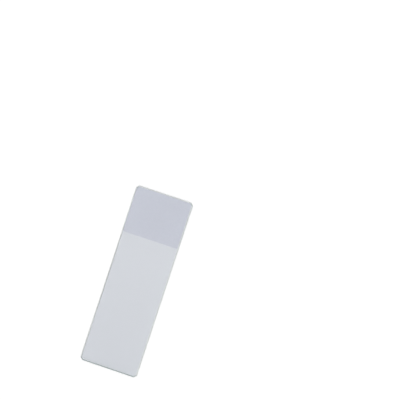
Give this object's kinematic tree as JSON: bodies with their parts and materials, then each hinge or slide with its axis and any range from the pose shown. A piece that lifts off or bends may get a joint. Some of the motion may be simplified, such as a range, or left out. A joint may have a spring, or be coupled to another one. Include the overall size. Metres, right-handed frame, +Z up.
{
  "type": "microscope slide",
  "caption": "Flat glass slide that carries a specimen under a microscope, with ground edges, clipped corners and a frosted end for writing on.",
  "frame": {"origin": "middle of the underside, the flat face that the slide rests on", "axes": "+Z up, out of the frosted face; +Y along the length, towards the frosted end; +X across the width"},
  "size_m": [0.0254, 0.0762, 0.0011],
  "materials": {
    "glass": "clear polished faces, matt ground edges, one end of the top face frosted"
  },
  "bodies": {
    "root": {"glass_slide": "glass"}
  },
  "joints": []
}
